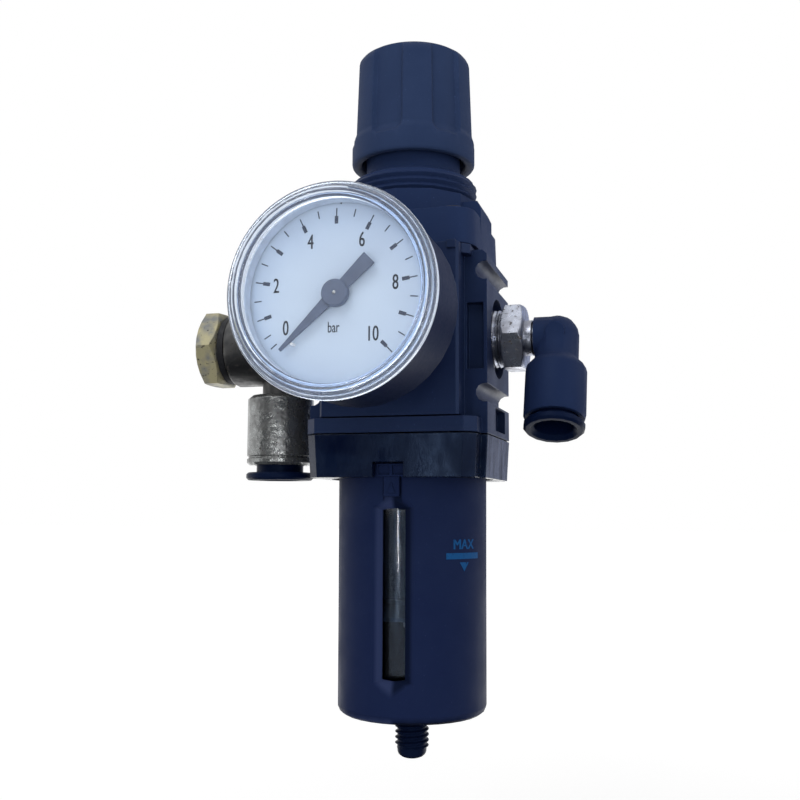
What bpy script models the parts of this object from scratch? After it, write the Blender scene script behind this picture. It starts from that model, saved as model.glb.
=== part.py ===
"""Filter regulator with a pressure gauge and two push-in elbows, one object for each physical piece.

Lengths are in millimetres, and finish turns them into metres. The origin is where the ports' axis crosses
the vertical axis of the body. The gauge faces -Y, +X runs to the right-hand port and +Z is up.
"""

import math

import bmesh
import bpy
from mathutils import Matrix, Vector

MM = 0.001
BIG, MIDDLE, SMALL, INNER = 32, 16, 10, 16  # sides of a round piece, by its size

# Housing
BODY_TOP, BODY_BOTTOM = 18.3, -22.2
CORE_HALF_X, CORE_HALF_Y = 15.0, 17.4
FRONT_Y = 20.6  # front of the cover, the rim and the cap
PLATE_X, PLATE_HALF_Y, PLATE_TOP = 20.0, 13.5, 17.5
GROOVE_HEIGHTS, GROOVE_R = (13.0, -13.5), 2.0
PORT_R, PORT_FLOOR_X, PORT_RECESS_R, PORT_RECESS_X = 6.9, 9.5, 9.0, 18.0
CHAMBER_R, SEAT_TOP, SEAT_UNDER, SEAT_R, CLEAN_R = 12.5, 8.2, 5.2, 3.2, 7.0
SCREW_X, SCREW_Y = 12.6, 13.6
DIAPHRAGM_R = 14.6

# Bonnet, knob and adjusting gear
BONNET_BOTTOM, FLANGE_TOP, FLANGE_HALF, FLANGE_CORNER = 18.6, 26.5, 17.5, 5.5
COLLAR_R, COLLAR_TOP, CREST_R, THREAD_PITCH = 15.0, 32.3, 14.9, 1.5
NECK_R, NECK_TOP = 11.0, 46.6
KNOB_BOTTOM, KNOB_BAND_TOP, KNOB_TOP, KNOB_R, KNOB_BAND_R = 41.5, 48.6, 68.3, 14.0, 14.4
FLUTES, FLUTE_HALF_ANGLE, FLUTE_DEPTH, FIRST_RIB = 6, 15.0, 0.8, 19.0  # degrees from the front towards +X
NUT_LOW, NUT_HIGH = 33.5, 36.5

# Bowl
CAP_TOP, CAP_BOTTOM = -22.5, -31.6
GUARD_R, GUARD_IN_R, GUARD_TOP, GUARD_BOTTOM = 16.8, 15.0, -27.3, -82.9
BOWL_R, BOWL_IN_R, BOWL_TOP, BOWL_FLOOR = 14.6, 13.1, -23.1, -79.8
WINDOW_HALF, WINDOW_TOP, WINDOW_BOTTOM, WINDOW_POINT = 4.9, -37.6, -74.8, 2.1
SLOT_HALF, SLOT_TOP, SLOT_BOTTOM = 2.5, -38.4, -73.8
DRAIN_R, DRAIN_END = 3.75, -92.8

# Gauge, measured forwards from the origin
GAUGE_Z, CASE_R, CASE_BACK, CASE_FRONT = 0.4, 19.3, 36.6, 55.6
BEZEL_R, BEZEL_FRONT, DIAL_FRONT = 19.8, 58.4, 52.8
POINTER_ZERO = -133.6  # degrees clockwise from the top
GEAR_MODULE, PINION_TEETH, WHEEL_TEETH, SECTOR_TEETH = 0.2, 12, 84, 14
GEAR_CENTRES = GEAR_MODULE * (PINION_TEETH + WHEEL_TEETH) / 2

# Fittings
THREAD_R, TUBE_R = 6.58, 4.15
ELBOW_X, ELBOW_SWING = 33.3, 21.0  # the leg's axis, and its swing from straight down towards the front
BANJO_X = -32.6

BLACK = ((0.030, 0.036, 0.050), 0.0, 0.50)
GLOSS = ((0.012, 0.014, 0.016), 0.0, 0.25)
NICKEL = ((0.62, 0.60, 0.55), 1.0, 0.32)
BRASS = ((0.60, 0.47, 0.20), 1.0, 0.38)
STEEL = ((0.55, 0.56, 0.58), 1.0, 0.35)
RUBBER = ((0.020, 0.020, 0.022), 0.0, 0.75)
WHITE = ((0.80, 0.82, 0.86), 0.0, 0.45)
FILTER = ((0.78, 0.77, 0.72), 0.0, 0.80)
CLEAR = ((0.85, 0.90, 0.90), 0.0, 0.08)

UP, RIGHT, LEFT, FORWARD = (0, 0, 1), (1, 0, 0), (-1, 0, 0), (0, -1, 0)
SIDES = (1, -1)


def place(axis, at=(0, 0, 0)):
    """The matrix that carries local +Z to the axis. With FORWARD, local X and Y become X and Z."""
    turn = Vector(UP).rotation_difference(Vector(axis)).to_matrix().to_4x4()
    return Matrix.Translation(Vector(at)) @ turn


def spin(degrees, axis="Z"):
    return Matrix.Rotation(math.radians(degrees), 4, axis)


GAUGE = place(FORWARD, (0, 0, GAUGE_Z))
LEG = place((0, -math.sin(math.radians(ELBOW_SWING)), -math.cos(math.radians(ELBOW_SWING))), (ELBOW_X, 0, 0))


def new_object(vertices, faces, frame=None):
    """A mesh object, still in millimetres, with its faces turned outwards."""
    mesh = bpy.data.meshes.new("mesh")
    mesh.from_pydata([tuple(vertex) for vertex in vertices], [], faces)
    mesh.transform(frame or Matrix.Identity(4))
    shape = bmesh.new()
    shape.from_mesh(mesh)
    bmesh.ops.recalc_face_normals(shape, faces=shape.faces)
    if shape.calc_volume(signed=True) < 0:
        bmesh.ops.reverse_faces(shape, faces=shape.faces)
    shape.to_mesh(mesh)
    shape.free()
    obj = bpy.data.objects.new("piece", mesh)
    bpy.context.scene.collection.objects.link(obj)
    return obj


def lathe(outline, sides, frame=None, phase=0.0):
    """A closed (radius, height) outline turned about local Z."""
    vertices = []
    rings = []
    for radius, height in outline:
        count = sides if radius > 1e-6 else 1
        rings.append([len(vertices) + k for k in range(count)])
        for k in range(count):
            angle = math.radians(phase) + 2 * math.pi * k / sides
            vertices.append((radius * math.cos(angle), radius * math.sin(angle), height))
    faces = []
    for ring, following in zip(rings, rings[1:] + rings[:1]):
        if len(ring) == 1 and len(following) == 1:
            continue
        for k in range(sides):
            near = (k % len(ring), (k + 1) % len(ring))
            far = (k % len(following), (k + 1) % len(following))
            corners = [ring[near[0]], ring[near[1]], following[far[1]], following[far[0]]]
            faces.append(list(dict.fromkeys(corners)))
    return new_object(vertices, faces, frame)


def loft(first, low, second, high, frame=None):
    """A straight-sided solid between two outlines with as many points as each other."""
    count = len(first)
    vertices = [(x, y, low) for x, y in first] + [(x, y, high) for x, y in second]
    faces = [tuple(range(count)), tuple(range(count, 2 * count))]
    for k in range(count):
        m = (k + 1) % count
        faces.append((k, m, m + count, k + count))
    return new_object(vertices, faces, frame)


def prism(outline, low, high, frame=None):
    return loft(outline, low, outline, high, frame)


def cylinder(radius, low, high, sides=SMALL, frame=None, phase=0.0):
    return lathe([(0, low), (radius, low), (radius, high), (0, high)], sides, frame, phase)


def box(low, high, frame=None):
    outline = [(low[0], low[1]), (high[0], low[1]), (high[0], high[1]), (low[0], high[1])]
    return prism(outline, low[2], high[2], frame)


def torus(radius, thickness, height, sides, frame=None, corners=6):
    section = []
    for k in range(corners):
        angle = 2 * math.pi * k / corners
        section.append((radius + thickness * math.cos(angle), height + thickness * math.sin(angle)))
    return lathe(section, sides, frame)


def coil(radius, section, start, sweep, base, rise, steps, frame=None):
    """A section of (outward, up) points carried round local Z through sweep degrees, climbing by rise."""
    vertices = []
    for step in range(steps + 1):
        share = step / steps
        angle = math.radians(start + sweep * share)
        for outward, up in section:
            reach = radius + outward
            vertices.append((reach * math.cos(angle), reach * math.sin(angle), base + rise * share + up))
    size = len(section)
    faces = [tuple(range(size)), tuple(range(steps * size, (steps + 1) * size))]
    for step in range(steps):
        for k in range(size):
            m = (k + 1) % size
            a, b = step * size, (step + 1) * size
            faces.append((a + k, a + m, b + m, b + k))
    return new_object(vertices, faces, frame)


def ring_points(radius, sides):
    return [
        (radius * math.cos(2 * math.pi * k / sides), radius * math.sin(2 * math.pi * k / sides))
        for k in range(sides)
    ]


def chamfered(half_x, half_y, cut):
    return [
        (half_x, -half_y + cut), (half_x, half_y - cut), (half_x - cut, half_y), (-half_x + cut, half_y),
        (-half_x, half_y - cut), (-half_x, -half_y + cut), (-half_x + cut, -half_y), (half_x - cut, -half_y),
    ]


def rounded(half_x, half_y, radius, steps=5):
    points = []
    for quarter, (sign_x, sign_y) in enumerate(((1, 1), (-1, 1), (-1, -1), (1, -1))):
        for step in range(steps + 1):
            angle = math.pi / 2 * (quarter + step / steps)
            x = sign_x * (half_x - radius) + radius * math.cos(angle)
            points.append((x, sign_y * (half_y - radius) + radius * math.sin(angle)))
    return points


def hexagon(across_flats, phase=0.0):
    corner = across_flats / math.sqrt(3)
    return [
        (corner * math.cos(math.radians(60 * k + phase)), corner * math.sin(math.radians(60 * k + phase)))
        for k in range(6)
    ]


def hex_head(across_flats, low, high, frame, phase=0.0):
    """A hexagon with its corners turned off at both ends."""
    head = prism(hexagon(across_flats, phase), low, high, frame)
    corner = across_flats / math.sqrt(3) + 0.05
    flat = across_flats / 2 * 0.97
    cut = (corner - flat) * 0.6
    envelope = lathe(
        [(0, low), (flat, low), (corner, low + cut), (corner, high - cut), (flat, high), (0, high)],
        24, frame,
    )
    return combine(head, [envelope], "INTERSECT")


def combine(target, tools, operation):
    """The target after one exact Boolean with each tool. The tools are used up."""
    for tool in tools:
        modifier = target.modifiers.new("combine", "BOOLEAN")
        modifier.operation = operation
        modifier.solver = "EXACT"
        modifier.object = tool
    bpy.context.view_layer.update()
    graph = bpy.context.evaluated_depsgraph_get()
    result = bpy.data.meshes.new_from_object(target.evaluated_get(graph))
    target.modifiers.clear()
    target.data = result
    for tool in tools:
        bpy.data.objects.remove(tool, do_unlink=True)
    return target


def union(target, *tools):
    return combine(target, tools, "UNION")


def cut(target, *tools):
    return combine(target, tools, "DIFFERENCE")


def finish(obj, name, look, angle=32, alpha=1.0):
    """Scales the piece to metres, names it, gives it its own material and shades its round faces smooth."""
    colour, metallic, roughness = look
    surface = bpy.data.materials.new(name)
    surface.use_nodes = True
    shader = surface.node_tree.nodes["Principled BSDF"]
    shader.inputs["Base Color"].default_value = (*colour, 1.0)
    shader.inputs["Metallic"].default_value = metallic
    shader.inputs["Roughness"].default_value = roughness
    shader.inputs["Alpha"].default_value = alpha
    surface.diffuse_color = (*colour, alpha)
    obj.name = name
    obj.data.name = name
    obj.data.transform(Matrix.Scale(MM, 4))
    obj.data.materials.clear()
    obj.data.materials.append(surface)
    obj.data.shade_smooth()
    obj.data.set_sharp_from_angle(angle=math.radians(angle))
    return obj


def ridges(crest, root, first, pitch, count):
    """Outline points of thread ridges, running upwards from the first crest."""
    points = []
    for k in range(count):
        points += [(crest, first + k * pitch), (root, first + (k + 0.5) * pitch)]
    return points


# Housing

def plate_outline(side):
    """A side plate seen from the front, with the half-round grooves that the next module hooks into."""
    points = [(14.0, BODY_BOTTOM), (PLATE_X, BODY_BOTTOM)]
    for height in sorted(GROOVE_HEIGHTS):
        for angle in (-75, -45, -15, 15, 45, 75):
            x = PLATE_X - 0.5 - GROOVE_R * math.cos(math.radians(angle))
            points.append((min(x, PLATE_X), height + GROOVE_R * math.sin(math.radians(angle))))
        points.insert(-6, (PLATE_X, points[-6][1] - 0.05))
        points.append((PLATE_X, points[-1][1] + 0.05))
    points += [(PLATE_X, PLATE_TOP - 1.0), (PLATE_X - 1.0, PLATE_TOP), (14.0, PLATE_TOP)]
    return [(side * x, z) for x, z in points]


def body():
    block = prism(chamfered(CORE_HALF_X, CORE_HALF_Y, 1.0), BODY_BOTTOM, BODY_TOP)
    rim = prism(chamfered(18.7, FRONT_Y, 2.4), BODY_BOTTOM, -19.0)
    plates = [prism(plate_outline(side), -PLATE_HALF_Y, PLATE_HALF_Y, place(FORWARD)) for side in SIDES]
    seat = prism(chamfered(16.8, 17.1, 1.5), 16.2, BODY_TOP)
    block = union(block, rim, seat, *plates)
    cutters = [
        cylinder(DIAPHRAGM_R + 0.4, 17.6, 19.0, 24),
        cylinder(CHAMBER_R, SEAT_TOP, 18.0, INNER),
        cylinder(SEAT_R, 4.0, 9.0),
        cylinder(CLEAN_R, -23.0, SEAT_UNDER, 14),
        cylinder(2.5, -1.0, 9.0, 12, Matrix.Translation((10.2, 0, 0)), 8),
        cylinder(2.5, -23.0, 1.0, 12, Matrix.Translation((-10.4, 0, 0)), 8),
        cylinder(4.95, 9.0, 18.0, MIDDLE, GAUGE),
        cylinder(1.2, 0.0, 9.0, 8, Matrix.Translation((0, -10.6, 0)), 8),
    ]
    for side in SIDES:
        across = place((side, 0, 0))
        cutters.append(cylinder(PORT_R, PORT_FLOOR_X, 21.0, MIDDLE, across))
        cutters.append(cylinder(PORT_RECESS_R, PORT_RECESS_X, 21.0, 28, across))
        low, high = sorted((side * 18.2, side * 21.0))
        cutters.append(box((low, -4.0, -21.0), (high, 8.0, -15.9)))
        low, high = sorted((side * 15.6, side * 19.2))
        for face in SIDES:
            near, far = sorted((face * 11.2, face * 14.0))
            cutters.append(box((low, near, -8.4), (high, far, 6.0)))
            at = Matrix.Translation((side * SCREW_X, face * SCREW_Y, 0))
            cutters.append(cylinder(1.75, 7.0, 19.0, 8, at))
    return finish(cut(block, *cutters), "body", BLACK)


def cover(name, facing, gauge_hole):
    """The clip-on cover of the front or the back face, with its two snap tabs."""
    outline = [(15.3, 17.7), (15.3, 20.0), (14.7, FRONT_Y), (-14.7, FRONT_Y), (-15.3, 20.0), (-15.3, 17.7)]
    panel = prism([(x, facing * y) for x, y in outline], -18.7, 17.9)
    near, far = sorted((facing * 19.4, facing * (FRONT_Y + 0.4)))
    tabs = [box((x - 0.9, near, 16.4), (x + 0.9, far, 18.2)) for x in (-13.8, 13.8)]
    panel = union(panel, *tabs)
    if gauge_hole:
        panel = cut(panel, cylinder(7.6, 16.0, 22.0, MIDDLE, GAUGE))
    return finish(panel, name, BLACK)


def bonnet():
    flange = loft(
        rounded(FLANGE_HALF, FLANGE_HALF, FLANGE_CORNER), BONNET_BOTTOM,
        rounded(FLANGE_HALF - 0.2, FLANGE_HALF - 0.2, FLANGE_CORNER), FLANGE_TOP,
    )
    pads = []
    for side in SIDES:
        outline = [(13.0, 20.0), (17.4, 20.0), (17.4, 28.9), (16.6, 30.6), (13.0, 30.6)]
        pads.append(prism([(side * x, z) for x, z in outline], -6.5, 6.5, place(FORWARD)))
    collar = cylinder(COLLAR_R, 26.0, COLLAR_TOP, 12)
    root = CREST_R - 0.7
    tower = lathe(
        [(0, 30.0), (root, 30.0), (root, 32.5)] + ridges(CREST_R, root, 33.0, THREAD_PITCH, 3)
        + [(root, 37.1), (root - 1.2, 37.9), (NECK_R, 38.3), (NECK_R, NECK_TOP - 0.6)]
        + [(NECK_R - 0.6, NECK_TOP), (0, NECK_TOP)],
        BIG,
    )
    shell = union(flange, collar, tower, *pads)
    cavity = lathe(
        [(0, 18.0), (DIAPHRAGM_R + 0.4, 18.0), (DIAPHRAGM_R + 0.4, 19.1), (9.9, 19.1), (9.9, 37.4), (8.4, 38.6)]
        + [(8.4, 41.0), (0, 41.0)],
        INNER,
    )
    cutters = [cavity, cylinder(3.3, 40.0, 47.0), box((-1.3, -11.5, 19.0), (1.3, 11.5, 37.0))]
    for x in (-SCREW_X, SCREW_X):
        for y in (-SCREW_Y, SCREW_Y):
            at = Matrix.Translation((x, y, 0))
            cutters.append(cylinder(1.75, 18.0, 27.0, 8, at))
            cutters.append(cylinder(2.9, 24.6, 27.0, 12, at))
    return finish(cut(shell, *cutters), "bonnet", BLACK)


def bonnet_screws():
    spots = ((SCREW_X, -SCREW_Y), (SCREW_X, SCREW_Y), (-SCREW_X, SCREW_Y), (-SCREW_X, -SCREW_Y))
    for number, (x, y) in enumerate(spots, 1):
        at = Matrix.Translation((x, y, 0))
        screw = lathe([(0, 8.0), (1.4, 8.0), (1.4, 24.9), (2.5, 24.9), (2.5, 27.0), (0, 27.0)], 10, at)
        screw = cut(screw, prism(hexagon(2.5), 25.8, 28.0, at))
        finish(screw, f"bonnet_screw_{number}", STEEL)


# Knob and adjusting gear

def flute(index):
    """One shallow recess of the knob: a sector with a floor of its own taper and a rounded lower end."""
    middle = FIRST_RIB + 180 / FLUTES + index * 360 / FLUTES
    steps, half, corner = 6, math.radians(FLUTE_HALF_ANGLE), 1.8
    vertices = []
    for step in range(steps + 1):
        offset = half * math.sin(math.pi / 2 * (2 * step / steps - 1))
        beyond = max(0.0, abs(offset) * KNOB_R - (half * KNOB_R - corner))
        low = KNOB_BAND_TOP + 0.9 + corner - math.sqrt(max(corner**2 - beyond**2, 0.0))
        angle = math.radians(middle - 90) + offset
        slope = (KNOB_R - 13.4) / (66.0 - KNOB_BAND_TOP)
        for height in (low, 72.0):
            floor = KNOB_R - FLUTE_DEPTH - slope * (height - KNOB_BAND_TOP)
            for radius in (floor, 18.0):
                vertices.append((radius * math.cos(angle), radius * math.sin(angle), height))
    faces = [(0, 1, 3, 2), tuple(4 * steps + k for k in (0, 1, 3, 2))]
    for step in range(steps):
        a, b = 4 * step, 4 * step + 4
        for k, m in ((0, 1), (1, 3), (3, 2), (2, 0)):
            faces.append((a + k, a + m, b + m, b + k))
    return new_object(vertices, faces)


def knob():
    shell = lathe(
        [(0, 47.4), (5.4, 47.4), (5.4, 64.6), (11.3, 64.6), (12.1, 63.4), (12.1, KNOB_BOTTOM)]
        + [(14.1, KNOB_BOTTOM), (KNOB_BAND_R, 42.0), (KNOB_BAND_R, KNOB_BAND_TOP - 0.5)]
        + [(KNOB_R, KNOB_BAND_TOP), (13.45, 65.2), (13.0, 66.6), (11.8, 67.6), (7.0, KNOB_TOP - 0.15)]
        + [(0, KNOB_TOP)],
        BIG,
    )
    cutters = [flute(index) for index in range(FLUTES)]
    cutters.append(prism(hexagon(5.6), 47.0, 58.2))
    return finish(cut(shell, *cutters), "knob", BLACK)


def adjusting_screw():
    shank = lathe(
        [(0, 23.5), (2.2, 23.5), (2.7, 24.1), (2.7, 39.0), (5.2, 39.0), (5.2, 40.6), (2.9, 40.6)]
        + [(2.9, 47.0), (0, 47.0)],
        SMALL,
    )
    return finish(union(shank, prism(hexagon(5.0), 46.0, 57.0)), "adjusting_screw", STEEL)


def spring_nut():
    nut = lathe([(3.0, NUT_LOW), (9.5, NUT_LOW), (9.5, NUT_HIGH), (3.0, NUT_HIGH)], MIDDLE)
    keys = [box((-1.0, low, NUT_LOW), (1.0, low + 3.1, NUT_HIGH)) for low in (8.0, -11.1)]
    return finish(union(nut, *keys), "spring_nut", BRASS)


def springs():
    section = ring_points(0.75, 5)
    main = coil(6.9, section, 0, 4 * 360, 21.45, 11.0, 4 * 12)
    finish(main, "adjusting_spring", STEEL)
    fine = coil(3.3, ring_points(0.35, 4), 0, 5 * 360, -21.9, 23.5, 5 * 8)
    finish(fine, "valve_spring", STEEL)


def diaphragm():
    return finish(lathe(
        [(3.4, 17.9), (9.7, 17.9), (10.9, 16.8), (12.1, 17.9), (DIAPHRAGM_R, 17.9)]
        + [(DIAPHRAGM_R, 18.8), (12.4, 18.8), (10.9, 17.7), (9.4, 18.8), (3.4, 18.8)],
        MIDDLE,
    ), "diaphragm", RUBBER)


def diaphragm_plate():
    return finish(lathe(
        [(0.6, 16.6), (6.0, 16.6), (6.0, 17.6), (3.1, 17.6), (3.1, 19.1), (8.8, 19.1), (8.8, 20.3), (0.6, 20.3)],
        MIDDLE,
    ), "diaphragm_plate", BRASS)


def valve_poppet():
    return finish(lathe(
        [(0, -20.0), (1.0, -20.0), (1.0, 2.2), (4.4, 2.2), (4.4, 4.9), (1.0, 4.9), (1.0, 16.3), (0, 16.3)],
        12,
    ), "valve_poppet", BRASS)


def valve_guide():
    """The guide under the valve, whose rod carries the deflector, the element and the baffle."""
    guide = lathe(
        [(0, -64.0), (1.9, -64.0), (1.9, -24.4), (9.5, -24.4), (9.5, -22.6), (6.7, -22.6), (6.7, -14.0)]
        + [(5.4, -14.0), (5.4, -22.7), (2.4, -22.7), (2.4, -8.0), (1.3, -8.0), (1.3, -22.0), (0, -22.0)],
        MIDDLE,
    )
    holes = []
    for k in range(4):
        holes.append(cylinder(1.2, -25.0, -22.0, 8, spin(45 + 90 * k) @ Matrix.Translation((3.9, 0, 0))))
    return finish(cut(guide, *holes), "valve_guide", GLOSS)


# Filter, bowl and drain

def deflector():
    """The swirl ring, with slanting vanes round its edge."""
    disc = lathe(
        [(6.2, -28.2), (9.6, -28.2), (9.6, -27.0), (12.7, -27.0), (12.7, -25.5), (9.0, -25.5), (9.0, -24.7)]
        + [(6.2, -24.7)],
        24,
    )
    slots = []
    for k in range(8):
        tilt = spin(45 * k) @ Matrix.Translation((12.0, 0, -26.25)) @ spin(40, "X")
        slots.append(box((-1.3, -0.55, -3.0), (2.0, 0.55, 3.0), tilt))
    return finish(cut(disc, *slots), "deflector", WHITE)


def filter_element():
    tube = [(6.0, -57.6), (9.2, -57.6), (9.2, -28.5), (6.0, -28.5)]
    return finish(lathe(tube, MIDDLE), "filter_element", FILTER)


def baffle():
    return finish(lathe(
        [(2.2, -61.5), (4.0, -61.5), (4.0, -60.0), (11.0, -62.2), (11.5, -61.3), (6.4, -58.9), (6.4, -57.9)]
        + [(2.2, -57.9)],
        MIDDLE,
    ), "baffle", WHITE)


def cap_outline(scale):
    quarter = [(20.0, 0.0), (20.0, 13.5), (18.6, 13.5), (18.6, 18.2), (16.2, FRONT_Y)]
    points = [(x, y) for x, y in quarter[1:]]
    points += [(-x, y) for x, y in reversed(quarter[1:])]
    points += [(-x, -y) for x, y in quarter[1:]]
    points += [(x, -y) for x, y in reversed(quarter[1:])]
    return [(x * scale, y * scale) for x, y in points]


def bowl_cap():
    """The gloss collar under the body, with the bayonet that takes the bowl."""
    block = loft(cap_outline(0.975), CAP_BOTTOM, cap_outline(1.0), CAP_TOP)
    bore = lathe(
        [(0, -32.5), (18.5, -32.5), (18.5, -28.2), (17.1, -28.2), (17.1, -27.4), (18.5, -27.4), (18.5, -25.0)]
        + [(15.85, -25.0), (15.85, -22.0), (0, -22.0)],
        BIG,
    )
    cutters = [bore, box((-3.4, -21.5, -32.0), (3.4, -17.0, -28.4))]
    for k in range(4):
        cutters.append(box((14.0, -4.6, -28.6), (18.1, 4.6, -27.0), spin(45 + 90 * k)))
    return finish(cut(block, *cutters), "bowl_cap", GLOSS)


def bowl():
    cup = lathe(
        [(BOWL_IN_R, BOWL_TOP), (15.2, BOWL_TOP), (15.2, -23.4), (14.2, -23.4), (14.2, -25.0), (15.2, -25.0)]
        + [(15.2, -25.3), (16.7, -25.3), (16.7, -27.0), (BOWL_R, -27.3), (BOWL_R, -79.4), (13.6, -80.9)]
        + [(12.0, -81.3), (3.1, -81.3), (3.1, BOWL_FLOOR), (11.5, BOWL_FLOOR), (12.7, -79.2)]
        + [(BOWL_IN_R, -78.2)],
        BIG,
    )
    lugs = [box((15.6, -3.0, -27.0), (17.9, 3.0, -25.4), spin(45 + 90 * k)) for k in range(4)]
    return finish(union(cup, *lugs), "bowl", CLEAR, alpha=0.35)


def window_cutter(turned):
    """The long bevelled recess with pointed ends that opens into the sight slot."""
    def outline(half, top, bottom, point):
        return [
            (-half, bottom), (0, bottom - point), (half, bottom),
            (half, top), (0, top + point), (-half, top),
        ]
    outer = outline(WINDOW_HALF, WINDOW_TOP, WINDOW_BOTTOM, WINDOW_POINT)
    inner = outline(SLOT_HALF, SLOT_TOP, SLOT_BOTTOM, 0.3)
    facing = spin(turned) @ place(FORWARD)
    wider = outline(WINDOW_HALF + 1.5, WINDOW_TOP + 0.5, WINDOW_BOTTOM - 0.5, WINDOW_POINT + 1.0)
    return [loft(inner, 15.1, wider, 16.9, facing), prism(inner, 13.0, 15.4, facing)]


def bowl_guard():
    shell = lathe(
        [(GUARD_IN_R, GUARD_TOP), (GUARD_R, GUARD_TOP), (GUARD_R - 0.2, -81.2), (16.1, -82.3)]
        + [(15.2, GUARD_BOTTOM), (5.0, GUARD_BOTTOM), (5.0, -81.7), (14.0, -81.7), (GUARD_IN_R, -80.8)],
        BIG, phase=2.7,
    )
    cutters = window_cutter(0) + window_cutter(180)
    cutters.append(box((-2.0, -17.5, -37.4), (2.0, -15.95, -27.0)))
    return finish(cut(shell, *cutters), "bowl_guard", BLACK)


def lock_button():
    stem = box((-1.7, -17.4, -35.6), (1.7, -16.25, -28.8))
    head = box((-3.2, -17.9, -31.4), (3.2, -17.1, -28.7))
    mark = prism([(-0.9, -34.9), (0.9, -34.9), (0.0, -32.6)], 17.2, 17.6, place(FORWARD))
    pockets = [box((x, -18.5, -30.95), (x + 2.5, -17.45, -29.1)) for x in (-2.85, 0.35)]
    return finish(cut(union(stem, head, mark), *pockets), "lock_button", BLACK)


def bowl_o_ring():
    return finish(torus(15.0, 0.55, -24.2, 28, corners=5), "bowl_o_ring", RUBBER)


def drain():
    root = DRAIN_R - 0.5
    stem = lathe(
        [(0, -77.4), (4.0, -77.4), (4.0, -78.8), (2.7, -78.8), (2.7, -83.2), (root, -83.4)]
        + [(r, z) for r, z in reversed(ridges(DRAIN_R, root, -90.2, 1.2, 6))]
        + [(root, -90.9), (root - 0.1, -91.6), (2.6, -92.4), (1.6, DRAIN_END), (1.1, DRAIN_END)]
        + [(1.1, -89.0), (0, -89.0)],
        SMALL,
    )
    slot = box((-5.0, -0.6, -94.0), (5.0, 0.6, -92.0))
    finish(cut(stem, slot), "drain_screw", BLACK)
    finish(torus(3.5, 0.26, -79.3, SMALL, corners=4), "drain_seal", RUBBER)


# Gauge

def gauge_socket():
    shank = lathe(
        [(0, 10.0), (4.6, 10.0), (4.6, 18.9), (6.9, 18.9), (6.9, 22.8), (5.0, 22.8), (5.0, 39.0), (0, 39.0)],
        MIDDLE, GAUGE,
    )
    nut = hex_head(14.0, 22.4, 28.0, GAUGE)
    block = box((-4.5, -5.0, 38.6), (4.5, 4.5, 43.6), GAUGE)
    foot = box((-6.0, -12.0, 39.0), (-2.0, -4.0, 43.6), GAUGE)
    shape = cut(union(nut, shank, block, foot), cylinder(1.4, 9.0, 41.0, 12, GAUGE))
    finish(shape, "gauge_socket", BRASS)
    finish(torus(5.6, 0.5, 18.15, SMALL, GAUGE, 5), "gauge_seal", RUBBER)


def gauge_case():
    return finish(lathe(
        [(5.3, CASE_BACK), (17.4, CASE_BACK), (18.7, 37.3), (CASE_R, 38.9), (CASE_R, CASE_FRONT)]
        + [(17.9, CASE_FRONT), (17.9, 39.6), (16.6, 38.3), (5.3, 38.3)],
        BIG, GAUGE,
    ), "gauge_case", BLACK)


def gauge_crystal():
    """The clear front: a lens and its stepped bezel in one moulding."""
    return finish(lathe(
        [(0, 58.0), (16.8, 58.0), (17.1, 57.6), (17.6, BEZEL_FRONT), (18.4, BEZEL_FRONT), (18.6, 57.9)]
        + [(19.1, 57.9), (BEZEL_R, 57.2), (BEZEL_R, 55.9), (17.6, 55.9), (17.6, 53.2), (17.0, 53.2)]
        + [(17.0, 56.8), (0, 56.8)],
        BIG, GAUGE,
    ), "gauge_crystal", CLEAR, alpha=0.25)


def gauge_dial():
    flat = [(1.3, 52.2), (17.4, 52.2), (17.4, DIAL_FRONT), (1.3, DIAL_FRONT)]
    return finish(lathe(flat, BIG, GAUGE), "gauge_dial", WHITE)


def tooth_points(teeth, first, count, turned=0.0):
    """Outline points of gear teeth at the given module, each with a root, two flanks and a flat tip."""
    pitch = GEAR_MODULE * teeth / 2
    root, tip = pitch - 1.25 * GEAR_MODULE, pitch + 0.8 * GEAR_MODULE
    step = 2 * math.pi / teeth
    points = []
    for k in range(first, first + count):
        middle = math.radians(turned) + k * step
        for radius, share in ((root, -0.27), (tip, -0.09), (tip, 0.09), (root, 0.27)):
            angle = middle + share * step
            points.append((radius * math.sin(angle), radius * math.cos(angle)))
    return points


def gauge_pointer():
    """The pointer with its arbor and pinion, pointing at zero."""
    aim = GAUGE @ spin(-POINTER_ZERO)
    blade = prism(
        [(-0.25, 14.6), (-1.15, 1.6), (-0.8, -1.6), (-0.8, -4.6), (-1.4, -5.2), (-1.4, -8.4), (-0.9, -8.9)]
        + [(0.9, -8.9), (1.4, -8.4), (1.4, -5.2), (0.8, -4.6), (0.8, -1.6), (1.15, 1.6), (0.25, 14.6)],
        53.9, 54.3, aim,
    )
    hub = cylinder(2.5, 53.4, 54.8, SMALL, GAUGE)
    arbor = cylinder(0.45, 43.8, 54.0, 8, GAUGE, 8)
    pinion = prism(tooth_points(PINION_TEETH, 0, PINION_TEETH, 180 / PINION_TEETH), 46.3, 47.7, GAUGE)
    return finish(union(blade, hub, arbor, pinion), "gauge_pointer", BLACK)


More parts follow.
